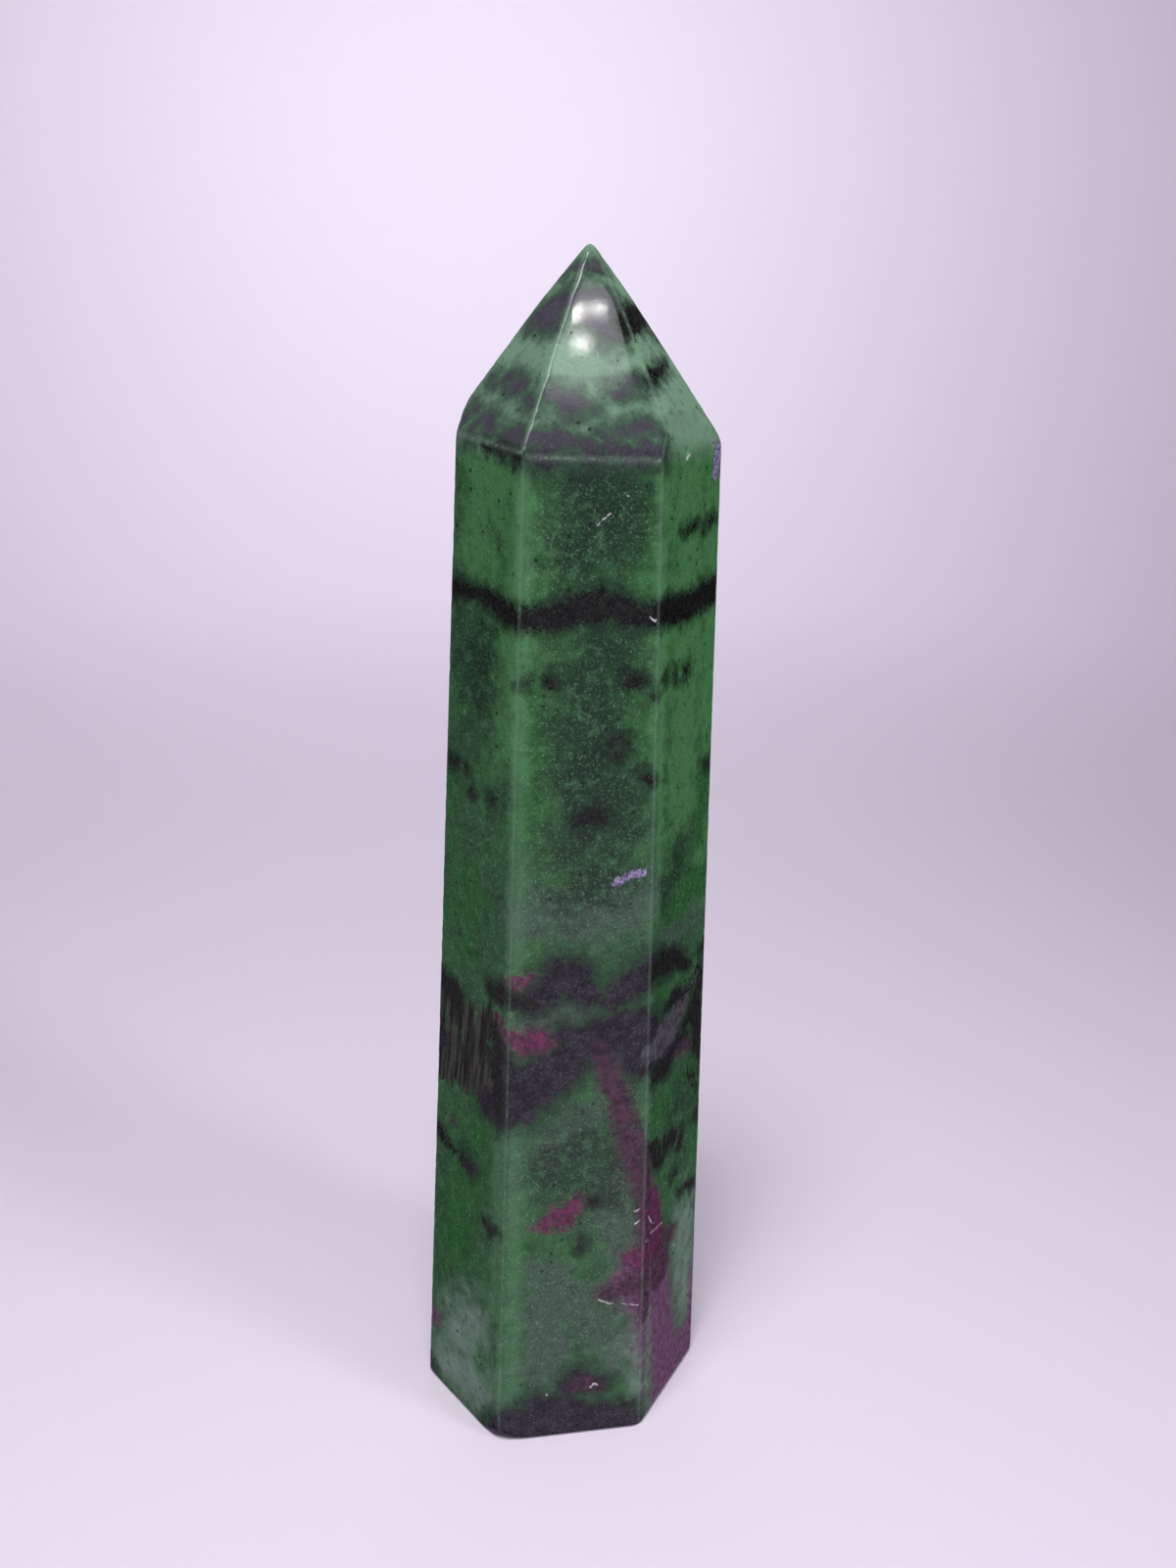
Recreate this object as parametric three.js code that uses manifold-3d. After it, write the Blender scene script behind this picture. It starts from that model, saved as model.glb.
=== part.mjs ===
// Ruby in zoisite tower: one polished stone with six uneven sides, a six-faced point and a cut base.
// Millimetres, +Z up. The origin is the middle of the bounding box, on the surface that the base stands on.
import * as THREE from 'three';
import { ConvexGeometry } from 'three/addons/geometries/ConvexGeometry.js';
import { mergeVertices } from 'three/addons/utils/BufferGeometryUtils.js';
import Module from 'manifold-3d';

const wasm = await Module();
wasm.setup();

// Driving dimensions of the cut. Angles are in degrees.
const HEIGHT = 160; // from the base to the blunt tip
const TIP_AXIS = { x: -0.45, y: -0.1 }; // where the point's axis stands, seen from above
const SHARP_TIP_HEIGHT = 161.4; // where the six tip faces would meet if the tip were not blunt
const UPPER_TIP_HEIGHT = 160.5; // the same for the slightly flatter facets next to the tip
const UPPER_TIP_TURN = 3.3; // how much flatter those facets are than the tip faces below them

// The six sides, in order around the stone. looks is the direction of a side's outward normal seen from above
// (0 along +X, 90 along +Y), apothem its distance from the axis at the base, and lean how far it leans in.
// tipLooks and tipRise are the direction and the upward slope of the normal of the tip face above it.
const SIDES = [
  { name: 'front', looks: -90, apothem: 17.4, lean: 0.8, tipLooks: -89.5, tipRise: 31 },
  { name: 'right front', looks: -37.5, apothem: 17.25, lean: 1.3, tipLooks: -33, tipRise: 32.1 },
  { name: 'right back', looks: 27.5, apothem: 16.95, lean: 0.65, tipLooks: 27, tipRise: 32.4 },
  { name: 'back', looks: 87, apothem: 16.9, lean: 1, tipLooks: 87, tipRise: 32.1 },
  { name: 'left back', looks: 148.5, apothem: 17, lean: 1.5, tipLooks: 147, tipRise: 32.1 },
  { name: 'left front', looks: -155, apothem: 18.4, lean: 0.85, tipLooks: -152.5, tipRise: 33.1 },
];

// Widths of the narrow flats where two faces meet, because polishing has rounded every edge a little.
// Each is given at the two ends of the edge. An upright edge runs from the base to the shoulder, between the
// side that it is named after and the next one round, and a ridge runs on from there to the tip.
const UPRIGHT_EDGE_WIDTHS = {
  front: [1.1, 0.35],
  'right front': [0.7, 0.6],
  'right back': [0.6, 0.5],
  back: [0.6, 0.5],
  'left back': [0.6, 0.5],
  'left front': [0.6, 1.1],
};
const EDGE_WIDTHS = {
  ridge: [0.3, 0.3],
  upperRidge: [0.3, 0.3],
  shoulder: [0.35, 0.35],
  foot: [0.6, 0.6],
  rim: [0.25, 0.25],
};

// How far the worn corners are ground back.
const RIGHT_SHOULDER_CORNER_DEPTH = 0.4;
const LEFT_SHOULDER_CORNER_DEPTH = 0.3;
const FOOT_CORNER_DEPTH = 0.45;

// The broken corner under the front left edge: how far it runs along the base edges and up the upright edge.
const BROKEN_CORNER_RUN = 4.7;
const BROKEN_CORNER_RISE = 2;

// Small chips. along goes from 0 to 1 up an upright edge or a ridge, and to the right along a shoulder line.
const CHIPS = [
  { edge: 'upright', of: 'right front', along: 0.006, width: 1.5, depth: 0.35 },
  { edge: 'shoulder', of: 'right front', along: 0.4, width: 1.1, depth: 0.22 },
  { edge: 'upright', of: 'left front', along: 0.993, width: 0.9, depth: 0.2 },
  { edge: 'ridge', of: 'left front', along: 0.2, width: 0.8, depth: 0.16 },
  { edge: 'ridge', of: 'left front', along: 0.07, width: 0.8, depth: 0.16 },
  { edge: 'upright', of: 'left front', along: 0.36, width: 0.9, depth: 0.16 },
  { edge: 'upright', of: 'front', along: 0.58, width: 0.8, depth: 0.14 },
  { edge: 'upright', of: 'back', along: 0.23, width: 1.2, depth: 0.25 },
  { edge: 'upright', of: 'right back', along: 0.81, width: 1, depth: 0.2 },
];

const PARALLEL = 1e-7; // three cuts whose normals have a smaller determinant than this never meet
const SLACK = 1e-6; // how far outside a cut a corner may lie and still be on it
const SMALLEST_STEP = 0.01; // corners closer together than this are one corner
const CHIP_FINENESS = 2; // how often each facet of a chip's ball is divided

// A flat cut keeps the points p of the stone with normal . p <= reach.
function cutThrough(normal, point) {
  return { normal, reach: normal.dot(point) };
}

function direction(looks, rise) {
  const around = THREE.MathUtils.degToRad(looks);
  const up = THREE.MathUtils.degToRad(rise);
  return new THREE.Vector3(Math.cos(around) * Math.cos(up), Math.sin(around) * Math.cos(up), Math.sin(up));
}

function sideCut({ looks, apothem, lean }) {
  const foot = direction(looks, 0).multiplyScalar(apothem);
  return cutThrough(direction(looks, lean), foot);
}

function tipCut({ tipLooks, tipRise }, turn, height) {
  const meeting = new THREE.Vector3(TIP_AXIS.x, TIP_AXIS.y, height);
  return cutThrough(direction(tipLooks, tipRise + turn), meeting);
}

// The corner where three cuts meet, or null where they never do.
function cornerOf(first, second, third) {
  const towards = new THREE.Vector3().crossVectors(second.normal, third.normal);
  const determinant = first.normal.dot(towards);
  if (Math.abs(determinant) < PARALLEL) return null;
  return towards
    .multiplyScalar(first.reach)
    .addScaledVector(new THREE.Vector3().crossVectors(third.normal, first.normal), second.reach)
    .addScaledVector(new THREE.Vector3().crossVectors(first.normal, second.normal), third.reach)
    .divideScalar(determinant);
}

const base = cutThrough(new THREE.Vector3(0, 0, -1), new THREE.Vector3());
const top = cutThrough(new THREE.Vector3(0, 0, 1), new THREE.Vector3(0, 0, HEIGHT));

// Each side with the cuts above it and its neighbours, then the corners that it shares with the next side.
const faces = SIDES.map((side) => ({
  name: side.name,
  side: sideCut(side),
  tip: tipCut(side, 0, SHARP_TIP_HEIGHT),
  upper: tipCut(side, UPPER_TIP_TURN, UPPER_TIP_HEIGHT),
}));
faces.forEach((face, index) => {
  face.next = faces[(index + 1) % faces.length];
  face.next.previous = face;
});
faces.forEach((face) => {
  face.footCorner = cornerOf(face.side, face.next.side, base);
  face.shoulderCorner = cornerOf(face.side, face.next.side, face.tip);
  face.ridgeBreak = cornerOf(face.tip, face.next.tip, face.upper);
  face.topCorner = cornerOf(face.upper, face.next.upper, top);
});

function faceNamed(name) {
  return faces.find((face) => face.name === name);
}

// The edges that belong to a face: the two cuts that meet there, and the two ends.
function edgesOf({ side, tip, upper, next, previous, footCorner, shoulderCorner, ridgeBreak, topCorner }) {
  return {
    upright: { cuts: [side, next.side], ends: [footCorner, shoulderCorner] },
    ridge: { cuts: [tip, next.tip], ends: [shoulderCorner, ridgeBreak] },
    upperRidge: { cuts: [upper, next.upper], ends: [ridgeBreak, topCorner] },
    shoulder: { cuts: [side, tip], ends: [previous.shoulderCorner, shoulderCorner] },
    foot: { cuts: [side, base], ends: [previous.footCorner, footCorner] },
    rim: { cuts: [upper, top], ends: [previous.topCorner, topCorner] },
  };
}

function outwardsOf(cuts) {
  return cuts.reduce((sum, cut) => sum.add(cut.normal), new THREE.Vector3()).normalize();
}

// The narrow flat of these widths along an edge. Its depth follows from the angle between the two cuts.
function flatAlong({ cuts, ends }, widths) {
  const outwards = outwardsOf(cuts);
  const depthPerWidth = Math.tan(cuts[0].normal.angleTo(cuts[1].normal) / 2) / 2;
  const [start, end] = ends.map((corner, index) =>
    corner.clone().addScaledVector(outwards, -widths[index] * depthPerWidth));
  const across = new THREE.Vector3().subVectors(ends[1], ends[0]).cross(outwards);
  const normal = new THREE.Vector3().subVectors(end, start).cross(across).normalize();
  if (normal.dot(outwards) < 0) normal.negate();
  return cutThrough(normal, start);
}

function wornEdges() {
  return faces.flatMap((face) => {
    const widths = { ...EDGE_WIDTHS, upright: UPRIGHT_EDGE_WIDTHS[face.name] };
    return Object.entries(edgesOf(face)).map(([kind, edge]) => flatAlong(edge, widths[kind]));
  });
}

// The flat that takes a worn corner back by depth, square to the mean of the cuts that meet there.
function cornerCut(cuts, corner, depth) {
  const outwards = outwardsOf(cuts);
  return cutThrough(outwards, corner.clone().addScaledVector(outwards, -depth));
}

function wornShoulderCorner({ side, tip, next, shoulderCorner }, depth) {
  return cornerCut([side, next.side, tip, next.tip], shoulderCorner, depth);
}

function wornFootCorners() {
  return faces
    .filter((face) => face.name !== 'left front')
    .map((face) => cornerCut([face.side, face.next.side, base], face.footCorner, FOOT_CORNER_DEPTH));
}

// The broken corner is one slanting facet that looks outwards and down.
function brokenCorner() {
  const { previous, next, footCorner, shoulderCorner } = faceNamed('left front');
  const towards = (point, distance) =>
    footCorner.clone().add(new THREE.Vector3().subVectors(point, footCorner).setLength(distance));
  const alongLeft = towards(previous.footCorner, BROKEN_CORNER_RUN);
  const alongFront = towards(next.footCorner, BROKEN_CORNER_RUN);
  const up = towards(shoulderCorner, BROKEN_CORNER_RISE);
  const normal = new THREE.Vector3()
    .subVectors(alongFront, alongLeft)
    .cross(new THREE.Vector3().subVectors(up, alongLeft))
    .normalize();
  if (normal.z > 0) normal.negate();
  return cutThrough(normal, up);
}

function allCuts() {
  return [
    base,
    top,
    ...faces.flatMap((face) => [face.side, face.tip, face.upper]),
    ...wornEdges(),
    wornShoulderCorner(faceNamed('right front'), RIGHT_SHOULDER_CORNER_DEPTH),
    wornShoulderCorner(faceNamed('left back'), LEFT_SHOULDER_CORNER_DEPTH),
    ...wornFootCorners(),
    brokenCorner(),
  ];
}

// Every corner of the stone lies on three cuts and inside all the others.
function stoneCorners(cuts) {
  const corners = [];
  for (let first = 0; first < cuts.length; first++) {
    for (let second = first + 1; second < cuts.length; second++) {
      for (let third = second + 1; third < cuts.length; third++) {
        const corner = cornerOf(cuts[first], cuts[second], cuts[third]);
        if (!corner || cuts.some((cut) => cut.normal.dot(corner) > cut.reach + SLACK)) continue;
        if (corners.every((other) => other.distanceTo(corner) >= SMALLEST_STEP)) corners.push(corner);
      }
    }
  }
  return corners;
}

function solidOf(geometry) {
  const bare = geometry.index ? geometry.toNonIndexed() : geometry.clone();
  bare.deleteAttribute('normal');
  bare.deleteAttribute('uv');
  const merged = mergeVertices(bare);
  return new wasm.Manifold(new wasm.Mesh({
    numProp: 3,
    vertProperties: merged.attributes.position.array,
    triVerts: new Uint32Array(merged.index.array),
  }));
}

function geometryOf(solid) {
  const { vertProperties, triVerts } = solid.getMesh();
  const geometry = new THREE.BufferGeometry();
  geometry.setAttribute('position', new THREE.BufferAttribute(vertProperties, 3));
  geometry.setIndex(new THREE.BufferAttribute(triVerts, 1));
  geometry.computeVertexNormals();
  return geometry;
}

// A chip is a shallow shell-shaped scoop, cut by a faceted ball whose centre is well outside the edge.
function chipBall({ edge, of, along, width, depth }) {
  const { cuts, ends } = edgesOf(faceNamed(of))[edge];
  const radius = (width * width) / (8 * depth) + depth / 2;
  const centre = ends[0].clone().lerp(ends[1], along).addScaledVector(outwardsOf(cuts), radius - 2 * depth);
  return new THREE.IcosahedronGeometry(radius, CHIP_FINENESS).translate(centre.x, centre.y, centre.z);
}

function stoneGeometry() {
  const ground = solidOf(new ConvexGeometry(stoneCorners(allCuts())));
  return geometryOf(CHIPS.reduce((stone, chip) => stone.subtract(solidOf(chipBall(chip))), ground));
}

const zoisite = new THREE.MeshStandardMaterial({ color: 0x44634f, roughness: 0.22, metalness: 0 });

const stone = new THREE.Mesh(stoneGeometry(), zoisite);
stone.name = 'stone_tower';

const part = new THREE.Group();
part.add(stone);

export default part;
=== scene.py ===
"""Ruby in zoisite tower: the finished look of one polished stone.

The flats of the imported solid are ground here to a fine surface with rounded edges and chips. The
stone's minerals are strokes drawn on its faces in millimetres, and one node material turns them into
ragged patches.
"""

import math

import bmesh
import bpy
import numpy as np
from mathutils import Matrix, Vector, noise


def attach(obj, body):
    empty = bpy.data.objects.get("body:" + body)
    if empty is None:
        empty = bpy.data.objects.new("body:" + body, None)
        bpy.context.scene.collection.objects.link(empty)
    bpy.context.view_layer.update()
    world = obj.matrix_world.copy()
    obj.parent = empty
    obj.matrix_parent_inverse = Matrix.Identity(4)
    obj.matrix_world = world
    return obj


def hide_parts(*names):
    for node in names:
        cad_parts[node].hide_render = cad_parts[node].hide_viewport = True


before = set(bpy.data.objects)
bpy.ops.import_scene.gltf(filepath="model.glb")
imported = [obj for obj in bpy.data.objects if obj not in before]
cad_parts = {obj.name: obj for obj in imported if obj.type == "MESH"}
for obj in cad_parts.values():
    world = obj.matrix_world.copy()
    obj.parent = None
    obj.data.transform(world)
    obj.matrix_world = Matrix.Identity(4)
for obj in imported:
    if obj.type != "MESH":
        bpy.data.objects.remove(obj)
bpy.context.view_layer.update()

MM = 0.001
STONE_NODE = "stone_tower"

# Camera, from the photograph: millimetres in the stone's frame, and pixels of the 1200 x 1600 picture.
CAMERA_PLACE = (-39.06, -191.5, 153.5)
CAMERA_LOOKS = 11.94  # degrees from +Y towards +X
CAMERA_DIPS = 17.66  # degrees below the horizon
CAMERA_ROLL = 1.85  # degrees
FOCAL_PIXELS = 1557.0
PICTURE_HEIGHT = 1600
SENSOR = 36.0


def linear(code):
    """A colour written as six sRGB hex digits, in the linear values that shaders take."""
    shares = [int(code[place:place + 2], 16) / 255 for place in (0, 2, 4)]
    return tuple(s / 12.92 if s <= 0.04045 else ((s + 0.055) / 1.055) ** 2.4 for s in shares)


# Stage: camera, backdrop and lights.

def make_camera():
    data = bpy.data.cameras.new("camera")
    data.sensor_width = SENSOR
    data.lens = SENSOR * FOCAL_PIXELS / PICTURE_HEIGHT
    data.clip_start = 0.01
    data.clip_end = 10
    camera = bpy.data.objects.new("camera", data)
    looks, dips = math.radians(CAMERA_LOOKS), math.radians(CAMERA_DIPS)
    forward = Vector((math.sin(looks) * math.cos(dips), math.cos(looks) * math.cos(dips), -math.sin(dips)))
    turn = forward.to_track_quat("-Z", "Y").to_matrix() @ Matrix.Rotation(math.radians(CAMERA_ROLL), 3, "Z")
    camera.matrix_world = Matrix.Translation(Vector(CAMERA_PLACE) * MM) @ turn.to_4x4()
    bpy.context.scene.collection.objects.link(camera)
    bpy.context.scene.camera = camera


FLOOR_RADIUS = 0.62  # metres, where the pale floor starts to sweep up
SWEEP_RADIUS = 0.45
WALL_TOP = 1.2
BOWL_STEPS = 96
FLOOR_COLOUR = "e8dfee"
FLOOR_ROUGHNESS = 0.55


def sweep_profile():
    """The floor, the round sweep and the wall of the studio as (radius, height) points."""
    curve = [
        (FLOOR_RADIUS + SWEEP_RADIUS * math.sin(a), SWEEP_RADIUS * (1 - math.cos(a)))
        for a in np.linspace(0, math.pi / 2, 25)
    ]
    return [(0, 0), (0.1, 0), (0.3, 0), *curve, (FLOOR_RADIUS + SWEEP_RADIUS, WALL_TOP)]


def make_backdrop():
    """One seamless pale bowl round the stone, so that no view has a horizon."""
    mesh = bpy.data.meshes.new("backdrop")
    shape = bmesh.new()
    angles = [2 * math.pi * step / BOWL_STEPS for step in range(BOWL_STEPS)]
    rings = []
    for radius, height in sweep_profile():
        places = [(radius * math.cos(angle), radius * math.sin(angle), height) for angle in angles]
        rings.append([shape.verts.new(place) for place in places])
    for inner, outer in zip(rings, rings[1:]):
        for step in range(BOWL_STEPS):
            after = (step + 1) % BOWL_STEPS
            shape.faces.new((inner[step], outer[step], outer[after], inner[after]))
    bmesh.ops.remove_doubles(shape, verts=shape.verts, dist=1e-6)
    shape.to_mesh(mesh)
    shape.free()
    mesh.shade_smooth()
    backdrop = bpy.data.objects.new("backdrop", mesh)
    bpy.context.scene.collection.objects.link(backdrop)
    material = bpy.data.materials.new("pale_floor")
    material.use_nodes = True
    surface = material.node_tree.nodes["Principled BSDF"]
    surface.inputs["Base Color"].default_value = (*linear(FLOOR_COLOUR), 1)
    surface.inputs["Roughness"].default_value = FLOOR_ROUGHNESS
    mesh.materials.append(material)


def make_light(name, place, target, size, watts, colour, spread):
    """A soft round lamp at place, turned to target. Places and size are metres, spread is degrees."""
    data = bpy.data.lights.new(name, "AREA")
    data.shape = "DISK"
    data.size = size
    data.energy = watts
    data.color = colour
    data.spread = math.radians(spread)
    lamp = bpy.data.objects.new(name, data)
    lamp.location = place
    lamp.rotation_euler = (Vector(target) - Vector(place)).to_track_quat("-Z", "Y").to_euler()
    bpy.context.scene.collection.objects.link(lamp)


WHITE = (1, 1, 1)
TIP_FACE = (0, -0.01, 0.15)  # the middle of the front tip face
ROOM_COLOUR = "d9dade"
ROOM_STRENGTH = 0.22
SPARKLE_SIZE = 0.005

# Small lamps where the camera sees them mirrored in the front tip face: name, place and watts.
SPARKLES = [
    ("sparkle_left", (0.106, -0.259, 0.629), 0.0018),
    ("sparkle_top", (0.119, -0.257, 0.631), 0.0008),
    ("sparkle_low", (0.11, -0.272, 0.618), 0.0007),
]


def make_lights():
    """A soft lamp above the front left, washes on the wall, and lamps mirrored in the front tip face."""
    make_light("key", (-0.1, -0.21, 0.64), (-0.01, -0.08, 0), 0.24, 0.84, (1, 0.985, 0.99), 90)
    make_light("fill", (0.42, -0.42, 0.5), (0, 0, 0.12), 0.2, 0.12, (0.98, 1, 0.98), 50)
    make_light("wall_wash", (0.05, 0.52, 0.75), (0.1, 0.95, 0.05), 0.4, 2.4, WHITE, 130)
    make_light("front_wash", (0, -0.52, 0.75), (0, -0.95, 0.1), 0.4, 1.3, WHITE, 130)
    make_light("sheen", (0.107, -0.262, 0.625), TIP_FACE, 0.08, 0.007, (0.96, 1, 0.99), 60)
    for name, place, watts in SPARKLES:
        make_light(name, place, TIP_FACE, SPARKLE_SIZE, watts, (1, 0.98, 0.94), 60)
    world = bpy.data.worlds.new("room")
    world.use_nodes = True
    room = world.node_tree.nodes["Background"]
    room.inputs["Color"].default_value = (*linear(ROOM_COLOUR), 1)
    room.inputs["Strength"].default_value = ROOM_STRENGTH
    bpy.context.scene.world = world
    bpy.context.scene.view_settings.view_transform = "Standard"


# The stone's surface. All of this works in millimetres.

SAME_NORMAL = 0.99999  # flats whose normals agree this well are one flat
SAME_REACH = 0.01
SUPPORT_SLACK = 0.004
SMALLEST_FACET = 1e-3
ROUNDING = 0.09  # how softly the flats run into each other
GRINDING_PASSES = 5
COLUMNS_PER_FACE = 56
EDGE_GATHER = 0.75  # share by which the columns gather at the upright edges
BASE_RINGS = (0.985, 0.95, 0.86, 0.66, 0.36)
TIP_RINGS = (0.7, 0.35)


def points_and_triangles(thing):
    mesh = thing.data
    points = np.empty(len(mesh.vertices) * 3)
    mesh.vertices.foreach_get("co", points)
    mesh.calc_loop_triangles()
    triangles = np.empty(len(mesh.loop_triangles) * 3, int)
    mesh.loop_triangles.foreach_get("vertices", triangles)
    return points.reshape(-1, 3) / MM, triangles.reshape(-1, 3)


class Flat:
    """One flat cut of the solid: the stone keeps the points p with normal . p <= reach."""

    def __init__(self, normal, reach):
        self.normal = normal
        self.reach = reach
        self.area = 0

    @property
    def looks(self):
        return math.atan2(self.normal[1], self.normal[0])


def read_solid():
    """The solid's corners, the flats that it lies wholly behind, and the triangles of its hollows."""
    points, triangles = points_and_triangles(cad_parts[STONE_NODE])
    first, second, third = (points[triangles[:, corner]] for corner in range(3))
    crossed = np.cross(second - first, third - first)
    areas = np.linalg.norm(crossed, axis=1) / 2
    flats, hollow = [], []
    for index in np.argsort(-areas):
        if areas[index] < SMALLEST_FACET:
            continue
        normal = crossed[index] / (2 * areas[index])
        reach = normal @ first[index]
        if np.max(points @ normal) > reach + SUPPORT_SLACK:
            hollow.append(index)
            continue
        known = [
            flat for flat in flats
            if flat.normal @ normal > SAME_NORMAL and abs(flat.reach - reach) < SAME_REACH
        ]
        if not known:
            known = [Flat(normal, reach)]
            flats.append(known[0])
        known[0].area += areas[index]
    flats.sort(key=lambda flat: -flat.area)
    return points, flats, triangles[hollow]


solid_points, flats, hollow_triangles = read_solid()
HEIGHT = solid_points[:, 2].max()
top_rim = solid_points[solid_points[:, 2] > HEIGHT - 0.01]
TIP_CENTRE = top_rim.mean(0)


def faces_round(lowest_rise, highest_rise):
    """The six largest flats whose normals rise by this much, in order round the stone from the front."""
    found = [flat for flat in flats if lowest_rise < flat.normal[2] < highest_rise][:6]
    return sorted(found, key=lambda flat: (flat.looks + math.pi / 2 + 0.2) % (2 * math.pi))


SIDE_FLATS = faces_round(-0.1, 0.1)
TIP_FLATS = faces_round(0.4, 0.6)
FACE_NAMES = ("front", "right", "right_back", "back", "left_back", "left")
FACES = dict(zip(FACE_NAMES, SIDE_FLATS))
FACES.update({"tip_" + name: flat for name, flat in zip(FACE_NAMES, TIP_FLATS)})


def on_face(name, across, height):
    """The point of a face at this height, this far to the right of the middle as seen from outside."""
    flat = FACES[name]
    level = np.array([math.cos(flat.looks), math.sin(flat.looks), 0])
    right = np.array([-level[1], level[0], 0])
    up = np.array([0, 0, height])
    outwards = (flat.reach - flat.normal @ (right * across + up)) / (flat.normal @ level)
    return right * across + level * outwards + up


def corner_angles(ring, height):
    """The directions from the axis in which neighbours of a ring of flats meet at this height."""
    angles = []
    for flat, after in zip(ring, ring[1:] + ring[:1]):
        sides = np.array([flat.normal[:2], after.normal[:2]])
        reaches = np.array([flat.reach - flat.normal[2] * height, after.reach - after.normal[2] * height])
        corner = np.linalg.solve(sides, reaches) - TIP_CENTRE[:2] * height / HEIGHT
        angles.append(math.atan2(corner[1], corner[0]))
    return np.unwrap(angles)


def shoulder_heights():
    """Where the tip faces cut the upright edges, lowest and highest."""
    heights = []
    for index, tip in enumerate(TIP_FLATS):
        for near, after in ((index - 1, index), (index, (index + 1) % 6)):
            cuts = [SIDE_FLATS[near], SIDE_FLATS[after], tip]
            normals = np.array([cut.normal for cut in cuts])
            heights.append(np.linalg.solve(normals, [cut.reach for cut in cuts])[2])
    return min(heights), max(heights)


SHOULDER_LOW, SHOULDER_HIGH = shoulder_heights()


def row_heights():
    """Heights of the rows of points, closest at the foot, the shoulder, the tip and the fine markings."""
    stretches = [
        (0, 1.4, 9),
        (1.4, 20, 20),
        (20, 75, 84),
        (75, 104, 34),
        (104, 121, 28),
        (121, SHOULDER_LOW - 1, 14),
        (SHOULDER_LOW - 1, SHOULDER_HIGH + 0.6, 34),
        (SHOULDER_HIGH + 0.6, HEIGHT - 1.5, 32),
        (HEIGHT - 1.5, HEIGHT, 12),
    ]
    rows = [np.linspace(low, high, steps, endpoint=False) for low, high, steps in stretches]
    return np.append(np.concatenate(rows), HEIGHT)


def column_shares():
    """Where the columns of one face stand between its two edges, gathered near both."""
    even = np.arange(COLUMNS_PER_FACE) / COLUMNS_PER_FACE
    gathered = 0.5 - 0.5 * np.cos(math.pi * even)
    return even + (gathered - even) * EDGE_GATHER


def smooth_step(value, low, high):
    share = np.clip((value - low) / (high - low), 0, 1)
    return share * share * (3 - 2 * share)


NORMALS = np.array([flat.normal for flat in flats])
REACHES = np.array([flat.reach for flat in flats])


def cast_outwards(origin, directions):
    """Where level rays from a point inside leave the solid."""
    slopes = directions @ NORMALS.T
    room = REACHES - NORMALS @ origin
    lengths = np.where(slopes > 1e-9, room / np.maximum(slopes, 1e-9), np.inf)
    return origin + directions * lengths.min(1)[:, None]


def ring_of_points(height):
    below = corner_angles(SIDE_FLATS, height)
    above = corner_angles(TIP_FLATS, min(height, HEIGHT - 0.5))
    above += 2 * math.pi * np.round((below - above) / (2 * math.pi))
    corners = below + (above - below) * smooth_step(height, SHOULDER_LOW, SHOULDER_HIGH)
    after = np.append(corners[1:], corners[0] + 2 * math.pi)
    angles = (corners[:, None] + (after - corners)[:, None] * column_shares()).ravel()
    directions = np.stack([np.cos(angles), np.sin(angles), np.zeros_like(angles)], 1)
    lift = min(height, HEIGHT - 1e-4)
    origin = np.array([*(TIP_CENTRE[:2] * lift / HEIGHT), lift])
    return cast_outwards(origin, directions)


def stone_grid():
    """Points and four-sided faces of the whole surface, closed at the base and at the blunt tip."""
    rings = [ring_of_points(height) for height in row_heights()]
    base_centre = rings[0].mean(0)
    tip_centre = rings[-1].mean(0)
    rings = [
        *[base_centre + (rings[0] - base_centre) * share for share in reversed(BASE_RINGS)],
        *rings,
        *[tip_centre + (rings[-1] - tip_centre) * share for share in TIP_RINGS],
    ]
    count = len(rings[0])
    points = np.concatenate([*rings, [base_centre], [tip_centre]])
    after = np.roll(np.arange(count), -1)
    faces = []
    for ring in range(len(rings) - 1):
        low, high = ring * count, (ring + 1) * count
        faces += [(low + i, low + j, high + j, high + i) for i, j in enumerate(after)]
    last = (len(rings) - 1) * count
    base_point, tip_point = len(points) - 2, len(points) - 1
    faces += [(base_point, j, i) for i, j in enumerate(after)]
    faces += [(last + i, last + j, tip_point) for i, j in enumerate(after)]
    return points, faces


def ground(points):
    """The points moved onto the flats run softly into each other, and how steeply each lies there."""
    for _ in range(GRINDING_PASSES):
        gaps = points @ NORMALS.T - REACHES
        nearest = gaps.max(1)
        weights = np.exp((gaps - nearest[:, None]) / ROUNDING)
        total = weights.sum(1)
        slopes = (weights / total[:, None]) @ NORMALS
        outside = nearest + ROUNDING * np.log(total)
        points = points - slopes * (outside / (slopes ** 2).sum(1))[:, None]
    return points, slopes / np.linalg.norm(slopes, axis=1)[:, None]


OWN_FACET = 0.999  # a hollow facet belongs to a chip when no flat's normal agrees this well
CHIP_REACH = 1.7
FEWEST_FACETS = 6
LARGEST_CHIP = 1.6
CHIP_RIPPLE = 0.02
CHIP_MARGIN = 1.15  # how far past a chip its fine mesh reaches, as a share of its radius
CHIP_CUTS = 3


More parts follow.
